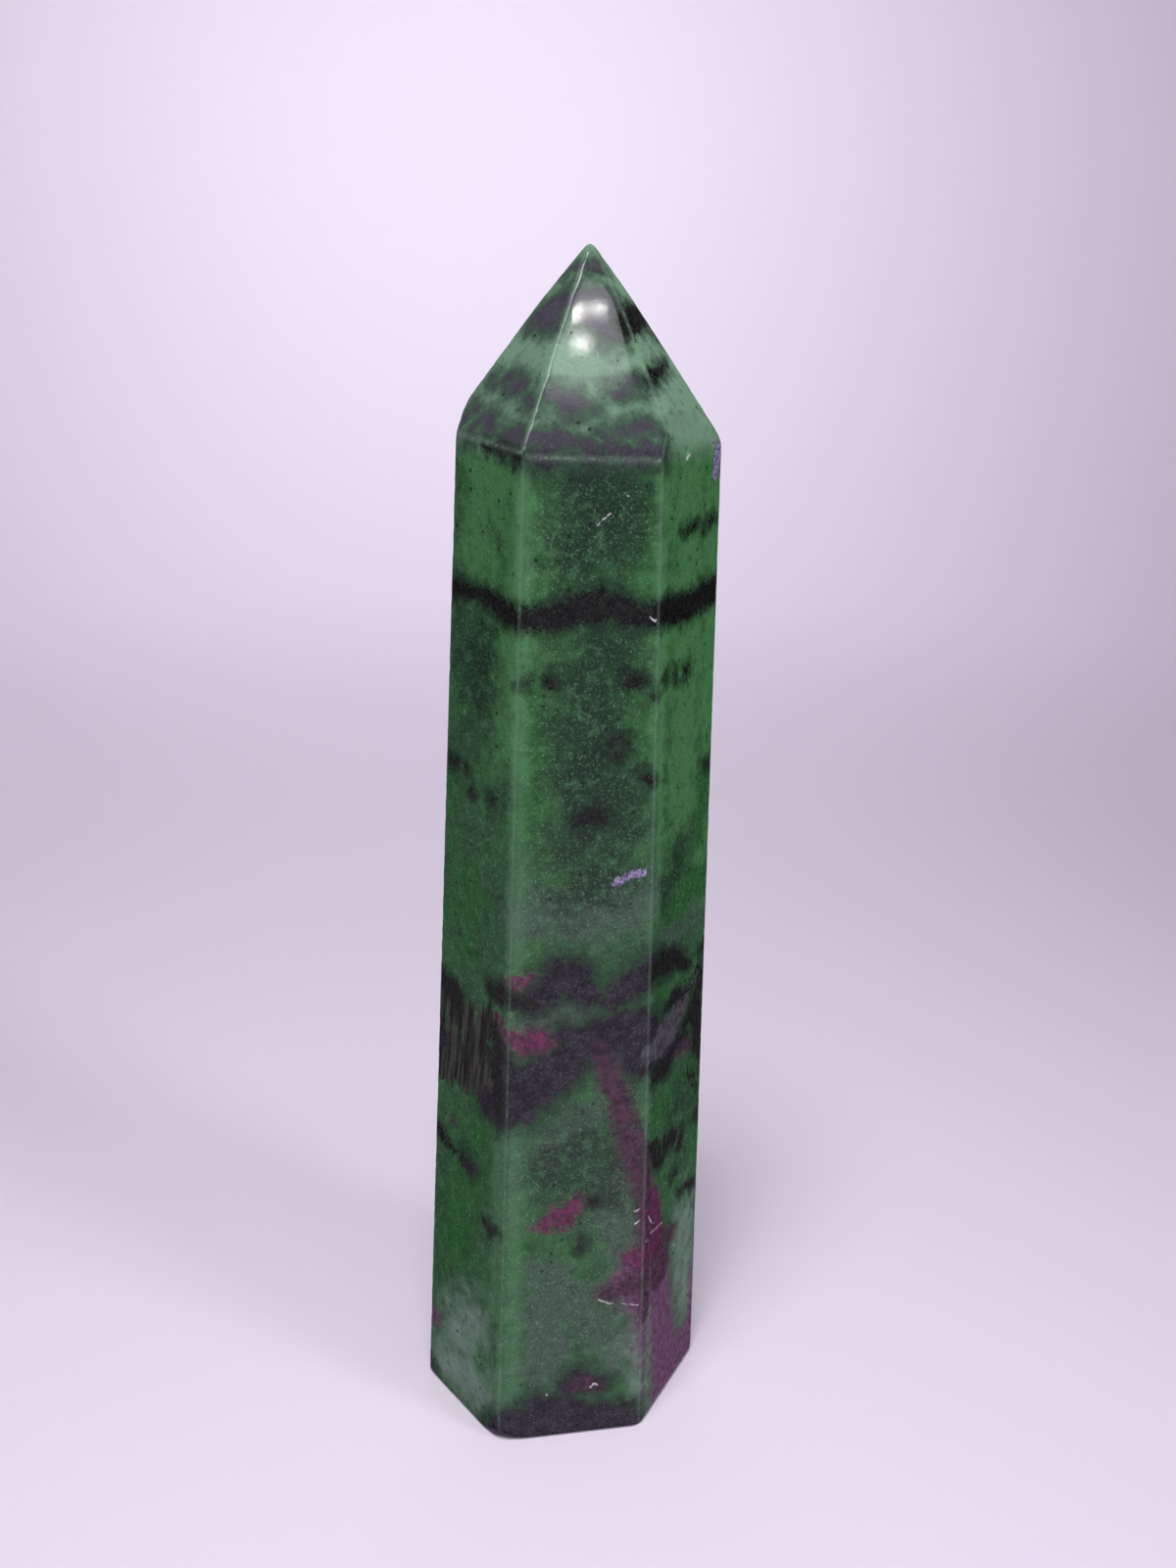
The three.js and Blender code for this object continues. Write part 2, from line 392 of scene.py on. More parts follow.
def chip_balls():
    """Centre and radius of the ball that cut each chip of the solid, from the chip's own facets."""
    corners = solid_points[hollow_triangles]
    facing = np.cross(corners[:, 1] - corners[:, 0], corners[:, 2] - corners[:, 0])
    facing /= np.linalg.norm(facing, axis=1)[:, None]
    own = (facing @ NORMALS.T).max(1) < OWN_FACET
    triangles, middles = hollow_triangles[own], corners[own].mean(1)
    balls = []
    left = list(range(len(middles)))
    while left:
        near = [i for i in left if np.linalg.norm(middles[i] - middles[left[0]]) < CHIP_REACH]
        left = [i for i in left if i not in near]
        rim = solid_points[np.unique(triangles[near])]
        sums = np.column_stack([2 * rim, np.ones(len(rim))])
        answer = np.linalg.lstsq(sums, (rim ** 2).sum(1), rcond=None)[0]
        radius = math.sqrt(max(answer[3] + answer[:3] @ answer[:3], 0))
        if len(near) >= FEWEST_FACETS and radius < LARGEST_CHIP:
            balls.append((answer[:3], radius))
    return balls


CHIP_BALLS = chip_balls()


def edge_gap(points):
    """How far the second nearest main face is behind each point: 0 on an edge."""
    main = SIDE_FLATS + TIP_FLATS
    gaps = points @ np.array([flat.normal for flat in main]).T - np.array([flat.reach for flat in main])
    gaps.sort(axis=1)
    return gaps[:, -1] - gaps[:, -2]


NOISE_SEED = 1
noise.seed_set(NOISE_SEED)  # without it the vector noise would differ from run to run


def noise_at(points, size, shifted, vector=False):
    """Smooth noise with lumps of this size at each point, from about -1 to 1."""
    shift = Vector((shifted * 17.3, shifted * 5.1, shifted * 9.7))
    pick = noise.noise_vector if vector else noise.noise
    return np.array([pick(Vector(point) / size + shift) for point in points])


def chipped(points):
    """The points inside a chip's ball pushed out to its slightly rippled surface."""
    for centre, radius in CHIP_BALLS:
        away = points - centre
        distance = np.linalg.norm(away, axis=1)
        inside = np.nonzero(distance < radius)[0]
        ripple = radius * (1 + CHIP_RIPPLE * noise_at(points[inside], 0.4, 3))
        points[inside] = centre + away[inside] * (ripple / distance[inside])[:, None]
    return points


WAVE_DEPTH = 0.02  # how far hand polishing leaves the faces from flat
WAVE_SIZE = 9
EDGE_WEAR = 0.07
NICK_SIZE = 1.3
WORN_WIDTH = 0.25


def worn(points, outwards):
    """The points sunk a little by the waves of hand polishing and by wear along the edges."""
    waves = 0.5 + 0.5 * noise_at(points, WAVE_SIZE, 1)
    nicks = np.clip(noise_at(points, NICK_SIZE, 2) * 2.2, 0, 1)
    near_edge = np.exp(-edge_gap(points) / WORN_WIDTH)
    sink = WAVE_DEPTH * waves + EDGE_WEAR * nicks * near_edge
    sink *= smooth_step(points[:, 2], 0.05, 1.5)
    return points - outwards * sink[:, None]


# Minerals: strokes on the faces. Each stroke is a face's name and its points (across, height, radius).

# Nearly black hornblende.
BLACK = [
    ("front", (-11.5, 116.6, 1.1), (-8, 117.2, 1.3), (-5, 117.5, 1.5), (-2.5, 118.3, 1.9),
     (-0.7, 118.8, 2.0), (1.5, 118.1, 1.5), (3.5, 117.5, 1.3), (6.5, 117.3, 1.4)),
    ("right", (-8, 117.4, 1.5), (-4, 117.2, 1.7), (0, 116.9, 1.8), (4, 117.4, 1.6), (10.5, 117.9, 1.7)),
    ("left", (-6, 118.4, 1.3), (-2, 118.8, 0.9), (1, 118.7, 0.8), (4, 118.3, 1.1), (7, 117.2, 1.4),
     (10.5, 116.7, 1.1)),
    ("right_back", (-10, 117.9, 1.6), (-5, 119, 1.5), (0, 118.5, 1.2), (5, 119.5, 1.4), (10, 120, 1.6)),
    ("back", (-10, 120, 1.5), (-6, 119, 1.2), (-1, 120.5, 1.7), (4, 119.5, 1.3), (10, 118.5, 1.5)),
    ("left_back", (-10, 118.5, 1.5), (-4, 117.5, 1.3), (2, 118.8, 1.7), (7, 118.6, 1.4),
     (10, 118.4, 1.5)),
    ("front", (-9.7, 109.4, 0.45)),
    ("front", (-7.4, 109.2, 0.5), (-6.5, 109, 0.55)),
    ("front", (2.9, 109.3, 0.5), (4.4, 109.5, 0.5)),
    ("front", (6.1, 107.3, 0.45), (6.5, 107.2, 0.35)),
    ("front", (0.5, 101.3, 0.3), (1.6, 102.2, 0.35), (3, 101.6, 0.3)),
    ("front", (1.5, 99.5, 0.4)),
    ("front", (4.2, 98, 0.3), (6.3, 96.3, 0.45)),
    ("front", (-2.4, 92, 0.7), (-0.8, 92.3, 1.0), (0.5, 91.6, 0.5)),
    ("front", (-3.4, 91, 0.4)),
    ("front", (-11.4, 67.6, 0.9), (-9.5, 67.6, 0.9), (-7.8, 67, 0.6)),
    ("front", (-1.2, 31.8, 0.4)),
    ("front", (-1, 30.2, 0.35)),
    ("front", (0.3, 37.3, 0.45)),
    ("front", (5.7, 4, 0.4)),
    ("front", (7, 4, 0.35)),
    ("right", (-6.4, 109.2, 0.4), (-5.8, 109.3, 0.3)),
    ("right", (-3.2, 109.1, 0.35), (-2.7, 108, 0.25)),
    ("right", (0, 108.9, 0.35), (1.3, 109, 0.3)),
    ("right", (0.5, 108, 0.3), (1.3, 108.2, 0.25)),
    ("right", (-2.5, 126.6, 0.3), (0, 126.6, 0.4), (1.8, 126.9, 0.45), (3.2, 127.2, 0.3)),
    ("right", (4.8, 126.4, 0.3), (7.5, 127, 0.45), (10, 127.4, 0.3)),
    ("right", (8.2, 94.4, 0.3), (9.6, 93.8, 0.5)),
    ("right", (-8.5, 70.6, 1.1), (-5, 70.4, 1.6), (-2, 69.8, 1.8), (0.5, 68.8, 1.4), (3, 67.3, 0.8),
     (4.5, 66.4, 0.4)),
    ("right", (8.7, 67.6, 0.5), (10.3, 67.3, 0.9)),
    ("right", (-3, 63.2, 0.4), (-0.5, 63.6, 1.0), (1.5, 63.2, 0.9), (4, 62.7, 0.5), (6, 62.5, 0.3)),
    ("right", (8.5, 61.5, 1.0), (7, 59.5, 1.8), (8.5, 56, 1.9), (8.5, 53, 1.7), (10, 51, 1.0)),
    ("right", (3.5, 58, 0.6), (4.8, 58.5, 1.2), (7, 59.5, 1.4)),
    ("right", (-6.3, 54.7, 1.0), (-4.5, 54.6, 1.5), (-2.5, 54.6, 1.3), (0.5, 56.4, 0.6), (3, 56.4, 0.5),
     (5, 56, 0.5)),
    ("right", (-7, 44, 0.6), (-6.2, 42.6, 0.7), (-5.5, 41.6, 0.4)),
    ("right", (-5.4, 43.6, 0.35), (-4.6, 42.6, 0.4)),
    ("right", (-4.6, 40.4, 0.5), (-4, 39.6, 0.35)),
    ("right", (-1.6, 41.6, 0.5), (0.2, 42.2, 0.7), (1, 41, 0.4)),
    ("right", (2.6, 39.4, 0.4), (3.4, 40.6, 0.35), (4, 41.6, 0.3)),
    ("right", (8.5, 41.5, 0.5), (10.4, 41, 0.9)),
    ("right", (0.8, 35.7, 0.3), (2.5, 35.4, 0.3)),
    ("right", (3, 31.5, 0.2), (6.5, 31, 0.4), (8.5, 30.3, 0.8)),
    ("left", (1, 136.4, 0.3), (4, 136.6, 0.6), (7, 136.3, 0.6), (9, 135.9, 0.4)),
    ("left", (-4.2, 96, 0.8), (-3.3, 96.1, 0.5)),
    ("left", (-1, 96, 0.45)),
    ("left", (0.5, 93, 0.5)),
    ("left", (4.8, 93.3, 0.5)),
    ("left", (-5.6, 64.6, 1.3), (-3, 63.4, 1.9), (-1.5, 62.2, 1.0)),
    ("left", (5.8, 68, 0.8), (7, 67.6, 1.3), (9, 68.2, 1.1)),
    ("left", (6.8, 62.5, 0.9), (8, 60.3, 1.2), (7.7, 57, 1.5), (8.8, 54.5, 1.5), (8.5, 52, 1.5),
     (9.5, 50.5, 0.9)),
    ("left", (-7.2, 57, 0.9), (-6.6, 52.5, 0.9)),
    ("left", (-7.2, 42.4, 0.5), (-5.5, 41.2, 0.6), (-4, 40.6, 0.4)),
    ("left", (5.8, 33.2, 0.3), (7, 32.5, 0.55), (8.2, 33.1, 0.35), (8.8, 33.5, 0.25)),
    ("right_back", (-9, 66.8, 1.1), (-4, 65, 1.5), (2, 61, 1.2), (6, 58, 0.8)),
    ("right_back", (-6, 90, 0.4), (-4.6, 89.6, 0.5)),
    ("right_back", (2, 103, 0.4), (3.2, 103.5, 0.35)),
    ("back", (-6, 60, 1.4), (-1, 57.4, 1.8), (5, 58.5, 1.2)),
    ("back", (-3, 129, 0.4), (-1, 129.6, 0.6), (2, 129.2, 0.4)),
    ("back", (4, 78, 0.6), (5.5, 77, 0.9), (6.4, 75.8, 0.4)),
    ("back", (-5, 24, 0.5), (-3.4, 23.4, 0.7)),
    ("left_back", (-7, 60, 1.2), (-1, 64, 1.6), (5, 66, 1.2)),
    ("left_back", (-4, 107, 0.4), (-2, 107.6, 0.6), (0, 107.3, 0.3)),
    ("left_back", (4, 44, 0.5), (5.6, 43, 0.7)),
    ("back", (-8, 92, 0.5), (-6, 92.8, 0.7), (-4.5, 92.4, 0.4)),
    ("back", (1, 112, 0.4), (3, 112.6, 0.6), (6, 112, 0.4)),
    ("right_back", (-3, 48, 0.5), (0, 46.5, 0.8), (2, 46, 0.4)),
    ("left_back", (-6, 84, 0.4), (-4, 83.2, 0.8), (-2, 83.6, 0.5)),
    ("tip_right", (-6, 150.5, 0.9), (-4, 151, 1.5), (-1.5, 151.3, 1.8), (0.5, 151.5, 1.7),
     (1.8, 151.8, 1.2)),
    ("tip_right", (-10.5, 144, 0.5), (-8.5, 144.4, 0.6), (-6, 144.6, 0.7), (-4, 145, 0.9),
     (-2, 145.3, 0.8), (0, 145.8, 0.6), (1.8, 146.1, 0.4)),
    ("tip_right", (-11, 137.4, 0.9), (-9, 137.6, 0.7), (-7.5, 137.8, 0.6), (-6, 137.9, 0.4)),
    ("tip_right", (-5.3, 137, 0.35), (-4.8, 136.7, 0.3)),
    ("tip_right", (-3.3, 157.3, 0.35), (-4.5, 155.5, 0.3), (-5.5, 153.8, 0.4)),
]

# Charcoal to purple-black.
DUSK = [
    ("front", (-8.2, 67.3, 1.0), (-6.2, 69, 2.0), (-4.5, 70.8, 2.3), (-3, 70, 2.2), (-1.5, 68.3, 1.5),
     (0.5, 67.4, 0.9)),
    ("front", (1.2, 66.9, 0.9), (3, 67.8, 1.6), (5, 69.2, 1.8), (7, 70.6, 1.8), (8.5, 71, 1.6)),
    ("front", (-3.8, 62.3, 1.2), (-1.5, 61.7, 1.7), (0.5, 62, 2.3), (3, 62.3, 2.9), (5.5, 61.8, 3.2),
     (7.8, 61, 3.0), (7.3, 58, 1.9), (4.6, 58, 1.4)),
    ("front", (-11.5, 57.5, 2.0), (-11, 53, 2.6), (-9.5, 52.3, 2.2), (-8, 55, 3.0), (-6, 57, 2.9),
     (-4, 58.5, 2.5), (-2, 59.5, 2.0), (0.3, 60.6, 1.6)),
    ("front", (-12.5, 1.2, 2.2), (-9, 2.6, 3.0), (-6, 3.2, 3.6), (-3, 2.8, 3.4), (0, 2.4, 3.2),
     (4, 1.6, 2.8), (6.5, 1.2, 2.2)),
    ("front", (-2, 8.4, 1.2), (0, 8.6, 1.8), (2, 7.8, 1.2)),
    ("right", (-7, 57.2, 1.0), (-3, 57, 1.0), (1, 57.6, 0.9)),
    ("left", (7, 0, 0.8), (9, 0.5, 1.6), (10.5, 1.5, 2.2)),
    ("left", (0.6, 40.4, 0.8), (2.4, 40, 0.6)),
    ("left", (6, 51.5, 2.0), (8.5, 51.5, 2.0)),
    ("right_back", (-8, 63, 2.5), (-2, 62, 2.8), (4, 58, 2.5), (9, 56, 2.5)),
    ("right_back", (-9, 2, 2.6), (0, 1.5, 2.4), (9, 1, 2.2)),
    ("back", (-9, 56, 2.5), (-3, 55, 3.2), (4, 56, 3.0), (10, 57, 2.6)),
    ("back", (-8, 1, 2.0), (0, 1.2, 2.6), (9, 1, 2.0)),
    ("back", (-2, 104, 1.2), (1, 105, 1.5)),
    ("left_back", (-10, 57, 2.6), (-3, 59, 3.2), (4, 58, 3.4), (10, 56, 3.0)),
    ("left_back", (-8, 1, 2.2), (0, 1, 2.0), (9, 1.2, 2.4)),
    ("tip_front", (-3.8, 156.4, 0.4), (-1.5, 157.1, 0.6), (0.2, 157.6, 0.4)),
    ("tip_front", (-2.6, 153.4, 1.5), (0, 153.4, 1.4), (1, 151.5, 1.4), (-1, 151.5, 2.0),
     (1, 149.3, 1.0)),
    ("tip_front", (-9, 142, 0.8), (-7.5, 142.3, 0.6), (-6, 142.5, 0.9), (-5, 141.7, 1.5),
     (-4.5, 140.8, 0.8)),
    ("tip_front", (-3.4, 141.5, 0.5), (-2.2, 141.3, 0.3)),
    ("tip_front", (0.5, 143.2, 0.4), (2, 143.4, 0.5), (4, 143.8, 0.45)),
    ("tip_front", (-1, 138.3, 0.4), (2, 139, 0.6), (4, 139.3, 0.8), (5.5, 139, 0.5)),
    ("tip_front", (-10.5, 137.6, 1.0), (-8, 137.9, 1.1), (-6, 137.6, 1.0), (-4, 137.2, 0.7),
     (-1.5, 137, 0.6), (0.5, 137, 0.8), (2.5, 136.8, 1.0), (4.5, 136.8, 1.2), (6, 136.4, 0.9)),
    ("tip_front", (-9, 135.9, 0.6), (-5, 136, 0.6), (0, 135.8, 0.5), (4, 135.8, 0.6)),
    ("tip_left", (0, 156.9, 0.4), (2, 157.2, 0.5), (4, 157.5, 0.6), (5.5, 157, 0.4)),
    ("tip_left", (1.5, 153.2, 1.4), (0.3, 151.8, 1.9), (-1, 151.2, 1.5), (1.5, 151, 1.4)),
    ("tip_left", (-1.2, 144.1, 0.6), (0.5, 143.5, 1.0), (1.8, 143.1, 1.0)),
    ("tip_left", (4.5, 142.3, 0.6), (5.5, 141.9, 0.9)),
    ("tip_left", (-4.2, 143.8, 0.4), (-3.5, 143.5, 0.6)),
    ("tip_left", (-1.3, 139.6, 0.6), (0, 139, 0.8), (1.2, 138.6, 0.7)),
    ("tip_left", (-3.3, 138.2, 0.8), (-2.8, 137.7, 0.6)),
    ("tip_left", (-5.5, 139, 0.6), (-4.8, 140.4, 0.5)),
    ("tip_left", (4, 138, 0.7), (6, 138, 1.0), (7.3, 137.7, 1.0)),
    ("tip_right_back", (-3, 150, 1.5), (0, 151, 1.8), (3, 150.5, 1.3)),
    ("tip_right_back", (-6, 137.4, 0.8), (0, 138, 0.8), (6, 137.2, 0.9)),
    ("tip_back", (-1, 147, 1.2), (2, 148, 1.4)),
    ("tip_back", (-7, 137.5, 0.9), (-1, 138, 0.7), (6, 137.4, 0.9)),
    ("tip_left_back", (-2, 152, 1.4), (1, 151.5, 1.6)),
    ("tip_left_back", (-7, 138.4, 0.7), (0, 137.8, 0.9), (6, 138.6, 0.7)),
]

# Purple-red ruby.
RUBY = [
    ("front", (-12, 69.6, 0.8), (-10.5, 70.2, 1.0), (-9, 70.6, 0.7)),
    ("front", (-11, 62.5, 1.2), (-9.5, 62, 1.9), (-7.8, 62, 1.8), (-6.5, 61.3, 1.1)),
    ("left", (7.8, 64.2, 0.5), (9.3, 62.8, 0.7)),
    ("left", (8.9, 64.6, 0.3)),
    ("front", (-7.5, 34.3, 0.7), (-5.5, 34.8, 1.5), (-4, 35.3, 2.1), (-2.5, 36.8, 1.3),
     (-1.2, 38.2, 0.5)),
    ("front", (5, 28.5, 0.8), (6, 28.3, 1.3), (7.5, 27.8, 1.9), (8.8, 27, 1.8)),
    ("front", (7.8, 35, 0.8), (8.8, 32, 1.2), (8.8, 29, 1.0)),
    ("right", (-6.3, 37, 1.0), (-5.2, 34, 1.5), (-4.5, 31, 1.8), (-5, 28, 1.6)),
    ("right_back", (-5, 22, 2.2), (-2, 30, 1.6), (1, 37, 1.0)),
    ("back", (3, 35, 1.4), (5, 40, 2.0), (6, 45, 1.2)),
    ("back", (-4, 90, 0.8), (-2, 91.5, 1.3)),
    ("left_back", (-3, 30, 1.6), (0, 32, 2.2), (2, 35, 1.2)),
    ("left_back", (3, 84, 0.6), (5, 85, 0.9)),
]

# Darker wine red.
WINE = [
    ("front", (0.7, 59.7, 1.0), (1.5, 58, 1.6), (2.4, 55, 1.9), (3.6, 52, 1.9), (4.4, 50, 2.0),
     (5.7, 45, 2.2), (7.6, 40, 2.2), (8.6, 36, 2.2)),
    ("right", (-6.5, 36, 1.7), (-5.5, 33, 2.0), (-5, 30, 2.4), (-4, 27, 3.0), (-3, 23, 3.4)),
    ("right", (0, 26.5, 1.6), (1.5, 26, 1.2)),
    ("right", (0.5, 55.3, 1.0), (2.5, 54.9, 1.5), (5, 54, 1.4), (6, 53.6, 0.8)),
    ("front", (1.3, 22.6, 0.8), (2.8, 22.9, 1.4), (4.3, 22.6, 1.2), (5.5, 23.5, 1.6), (7.5, 24.5, 2.0)),
    ("front", (8.6, 36, 2.0), (8.6, 30, 2.0), (8.4, 24, 2.2), (9, 16, 1.0)),
    ("front", (-1, 8.3, 0.9), (1, 8.2, 1.3), (2.3, 7.6, 0.7)),
    ("right_back", (-8, 6, 3.0), (-7, 14, 3.0), (-5, 22, 2.4)),
    ("back", (2, 33, 1.4), (4, 38, 2.4), (6, 44, 1.6)),
    ("left", (-2.6, 44.6, 0.5), (-1.8, 44.8, 0.4)),
]

# Pale greyed purple.
MAUVE = [
    ("right", (-4, 24, 2.6), (-3, 20, 3.6), (-2.2, 15, 3.8), (-1.2, 10, 4.2), (-0.5, 5, 4.5),
     (0, 0, 5.0)),
    ("right", (3, 4, 3.5), (6, 3.5, 3.6), (10, 3, 3.6)),
    ("front", (7.5, 27, 2.2), (5, 24, 2.0), (7, 22.5, 2.4), (8.8, 17, 1.8), (9.6, 6, 1.2)),
    ("left", (-8.2, 10.5, 1.6), (-6.6, 10.3, 1.2)),
    ("right_back", (-9, 4, 4.5), (-8, 14, 3.6), (-6, 22, 2.8)),
]

# Small lilac patches.
VIOLET = [
    ("tip_right", (-1, 134.3, 0.6), (1, 134.8, 0.6), (3.5, 135.6, 0.7), (5.5, 136.3, 0.8),
     (6.8, 136.9, 0.5)),
    ("right", (8.6, 134.3, 1.2), (8.4, 132.8, 0.9), (9, 136, 0.9)),
    ("front", (1.8, 83.5, 0.3), (4, 84.2, 0.5), (6.2, 84.8, 0.35)),
]

# Brighter, purer green: the stone's own tone, and along some upright edges painted light standing in for
# light shining through the thin stone.
BRIGHT = [
    ("front", (-9.6, 90, 1.0), (-9.4, 108, 1.4)),
    ("front", (5.8, 94, 0.8), (5.6, 108, 1.0)),
    ("front", (-11, 8, 1.6), (-10, 30, 2.0)),
    ("front", (5.2, 121, 1.0), (5.2, 135, 1.0)),
    ("left", (-6.5, 70, 1.2), (-6, 95, 1.2)),
    ("left", (0, 80, 3.0), (0, 72, 2.0)),
    ("left", (-2, 25, 4.0), (2, 40, 4.0), (4, 46, 3.0)),
    ("right", (8, 76, 3.0), (9, 92, 2.5)),
    ("right", (-4, 76, 2.0), (4, 78, 2.5)),
    ("right", (8.5, 32, 2.0), (8.5, 49, 2.5), (0, 48, 2.5), (-5, 48, 2.0)),
    ("right", (-5, 66, 1.0), (-8, 66, 1.2)),
]

# Paler green.
LIGHT = [
    ("right", (-7, 88, 2.0), (-7, 134, 2.5)),
    ("right", (0, 90, 4.5), (0, 112, 4.5), (0, 133, 5.0)),
    ("right", (8, 100, 3.5), (8, 133, 3.5)),
    ("left", (0, 122, 4.0), (2, 134, 5.0)),
    ("left", (8, 100, 2.5), (9, 133, 2.0)),
    ("right", (8, 82, 1.5), (9.5, 84, 1.5)),
    ("back", (0, 95, 5.0), (3, 85, 5.0)),
    ("left_back", (2, 128, 4.0), (-3, 136, 3.0)),
]

# Greyed green.
GREY = [
    ("front", (-8, 79, 3.0), (0, 79, 3.5), (6, 80, 3.0)),
    ("front", (-9, 65.2, 0.8), (-3, 65.2, 1.0), (0, 65.6, 0.6)),
    ("right", (-6, 73.3, 1.4), (0, 73, 1.4), (9, 72.5, 1.6)),
    ("front", (-6, 46, 2.5), (-2, 48, 3.0), (0, 50, 2.0)),
    ("front", (-6, 12, 3.0), (-6, 26, 3.0)),
    ("front", (3, 40, 3.0), (4, 30, 2.5)),
    ("front", (-5, 26, 2.5), (0, 20, 3.0), (4, 14, 3.0)),
]

# Pale grey green near the foot.
PALE = [
    ("left", (-7, 4, 2.5), (0, 5, 3.0), (7, 6, 2.5)),
    ("left", (0, 12, 3.5), (4, 16, 3.0)),
    ("right", (-7.5, 3, 1.5), (-6.8, 15, 1.5)),
    ("right", (7, 12, 3.0), (6, 27, 2.5)),
    ("left_back", (-4, 8, 3.0), (4, 6, 3.0)),
]

# Darker green.
DEEP = [
    ("front", (-2, 88, 3.5), (-2, 106, 4.0), (0, 112, 3.5)),
    ("front", (-4, 124, 3.0), (-2, 132, 4.0), (1, 128, 3.5)),
    ("front", (2, 96, 3.0), (4, 90, 2.5)),
    ("front", (2, 45, 2.0), (3, 38, 2.0), (-4, 41, 2.5)),
    ("left", (0, 106, 3.0), (2, 112, 3.0)),
    ("right", (-4, 80, 2.0), (0, 84, 2.5)),
    ("right", (1, 41, 2.5), (-2, 44, 2.0)),
    ("right", (3, 47, 2.5), (8, 46, 2.5)),
    ("front", (-3, 82, 2.5), (2, 84, 2.5)),
    ("front", (-6, 44, 2.5), (0, 47, 2.5)),
]

# Blades of black and olive grey.
BLADES = [
    ("left", (-6.5, 53.5, 3.4), (-3.5, 54, 3.8), (0, 55, 4.3), (3.5, 55.5, 4.6), (6, 55, 4.2)),
    ("left", (-5.5, 62, 2.2), (-2.5, 61, 2.6), (1, 60, 2.4)),
    ("left", (3, 62, 2.0), (5.5, 63, 2.4)),
    ("left_back", (6, 58, 4.0), (9, 57, 4.0)),
]

# A slate grey wedge.
SLATE = [
    ("right", (-8.5, 58.6, 1.4), (-5, 59, 2.4), (-1, 60, 2.6), (2.5, 61.4, 1.7), (5.5, 63, 0.5)),
    ("back", (2, 52, 1.6), (6, 53.5, 1.0)),
]

# Streaks of black through green.
STREAKS = [
    ("right", (-6.5, 44, 2.0), (-5, 41, 2.2), (-2, 42, 2.2), (1.5, 42, 2.0)),
    ("right", (3, 40, 1.6), (6, 36, 1.2)),
    ("right", (6, 50, 2.0), (8.5, 46, 1.6)),
    ("right", (5, 64, 1.5), (9, 64, 1.8)),
    ("back", (-2, 68, 2.0), (3, 70, 2.4)),
    ("back", (-6, 44, 2.0), (-1, 41, 2.4), (4, 39, 1.6)),
    ("right_back", (-4, 74, 2.0), (2, 77, 2.4)),
    ("left_back", (-5, 22, 2.0), (0, 19, 2.2)),
    ("left", (-5, 40.5, 1.8), (-1, 40, 1.6), (2, 39.6, 1.4)),
]

# Painted light near the upright edges, standing in for light shining through the thin stone there.
GLOW = [
    ("front", (-10.2, 2, 0.5), (-11, 134, 0.7)),
    ("front", (9.3, 8, 0.3), (9.2, 22, 0.3)),
    ("front", (7.2, 44, 0.3), (7.6, 56, 0.35), (7.9, 67, 0.4)),
    ("right", (-7, 78, 0.3), (-8, 134, 0.4)),
    ("left", (8.6, 20, 0.4), (8.6, 46, 0.4)),
]

# Thin pale cracks and scratches: a face, half the width and the places that the line runs through. The
# faintest ones have half a width just below 0.
CRACKS = [
    ("front", 0.1, (5.2, 117.1), (5.7, 116.6), (6.1, 116.9)),
    ("front", 0.1, (-1.7, 128.2), (-0.9, 129), (-0.2, 129.5)),
    ("front", 0.08, (1.7, 131.6), (2.2, 131.3)),
    ("front", 0.09, (1.6, 21.9), (3.2, 21.1), (5, 20.9), (7.5, 20.3)),
    ("front", 0.1, (8.1, 39.2), (7.5, 37.8), (7.8, 36.5)),
    ("front", 0.1, (6.2, 35.3), (7.5, 35.9)),
    ("front", 0.13, (8.2, 34.2), (8.7, 33)),
    ("front", 0.12, (8.6, 31.6), (10.3, 33.3)),
    ("front", 0.12, (0.9, 7.6), (1.4, 8.2), (1.9, 7.9)),
    ("front", 0.1, (-5.4, 7.1), (-5.3, 7.2)),
    ("front", 0.14, (8.9, 36.5), (9, 34), (8.4, 32.4), (9.2, 30.6), (8.8, 29.2)),
    ("front", 0.1, (6.4, 33.4), (7.6, 34.2), (8.8, 33.8), (10, 35)),
    ("front", 0.1, (9.6, 38), (9.2, 36.2), (9.8, 34.6)),
    ("right", 0.12, (-7.4, 34), (-6.6, 32.4), (-5.5, 31.5)),
    ("right", 0.09, (-6.5, 30.5), (-2.5, 29.9)),
    ("right", 0.09, (-8.5, 30), (-7, 30)),
    ("right", 0.2, (-1.4, 135.3), (-0.3, 135.8)),
    ("right", 0.1, (2, 23.5), (2.6, 23.3)),
    ("left", -0.01, (3.5, 135), (0.3, 128), (-3.3, 119.5)),
    ("left", -0.01, (-1, 84.3), (6, 89)),
]


FAR_AWAY = 50.0


def stroke_distance(points, strokes):
    """How far each point is from the nearest stroke's skin, below 0 inside."""
    nearest = np.full(len(points), FAR_AWAY)
    for name, *marks in strokes:
        for start, end in zip(marks, marks[1:] or marks):
            low, high = on_face(name, *start[:2]), on_face(name, *end[:2])
            along = high - low
            length = max(along @ along, 1e-9)
            share = np.clip((points - low) @ along / length, 0, 1)
            distance = np.linalg.norm(points - low - share[:, None] * along, axis=1)
            radius = start[2] + (end[2] - start[2]) * share
            nearest = np.minimum(nearest, distance - radius)
    return nearest


# Each mineral's attribute, its strokes and how far the noise bends its outline.
MINERALS = {
    "black": (BLACK, 0.3),
    "dusk": (DUSK, 0.5),
    "ruby": (RUBY, 0.4),
    "wine": (WINE, 0.4),
    "mauve": (MAUVE, 0.6),
    "violet": (VIOLET, 0.2),
    "bright": (BRIGHT, 1.5),
    "grey": (GREY, 1.5),
    "pale": (PALE, 2.0),
    "deep": (DEEP, 2.0),
    "light": (LIGHT, 2.0),
    "blades": (BLADES, 0.4),
    "slate": (SLATE, 0.2),
    "streaks": (STREAKS, 0.6),
    "glow": (GLOW, 0.1),
}


def write_attribute(mesh, name, values):
    mesh.attributes.new(name, "FLOAT", "POINT").data.foreach_set("value", values.astype(np.float32))


